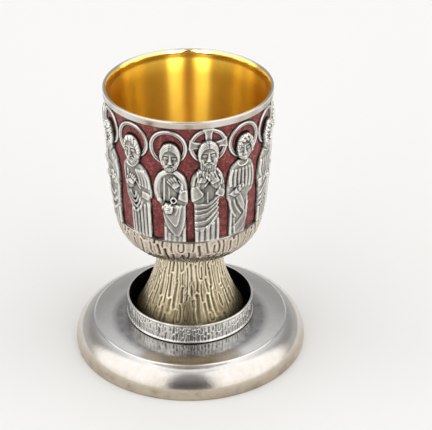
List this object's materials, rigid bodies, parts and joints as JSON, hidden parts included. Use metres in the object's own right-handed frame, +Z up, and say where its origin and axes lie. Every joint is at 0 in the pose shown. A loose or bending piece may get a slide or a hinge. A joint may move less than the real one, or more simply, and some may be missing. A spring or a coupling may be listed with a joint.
{
  "type": "chalice",
  "caption": "Silver chalice with haloed figures in relief on red enamel, a gilt inside and a flared foot, standing in the collar of its upturned dish.",
  "frame": {"origin": "centre of the ring on which the dish stands, on the table", "axes": "+Z up along the cup's axis; the figure with a cross in the halo is turned 14.4 degrees to the right of -Y, the front"},
  "size_m": [0.1316, 0.1316, 0.1611],
  "materials": {
    "gilt": "polished fire gilding on silver",
    "casing_silver": "cast silver, oxidised in the recesses and rubbed bright on the high spots",
    "enamel": "fired red enamel, slightly matt and mottled",
    "foot_alloy": "cast nickel silver with bark-like strokes",
    "collar_silver": "oxidised silver with upright strokes and a bright edge",
    "dish_silver": "polished silver with fine wear"
  },
  "bodies": {
    "root": {"gilt_cup": "gilt", "relief_casing": "casing_silver", "foot": "foot_alloy", "collar": "collar_silver", "dish": "dish_silver"}
  },
  "joints": []
}
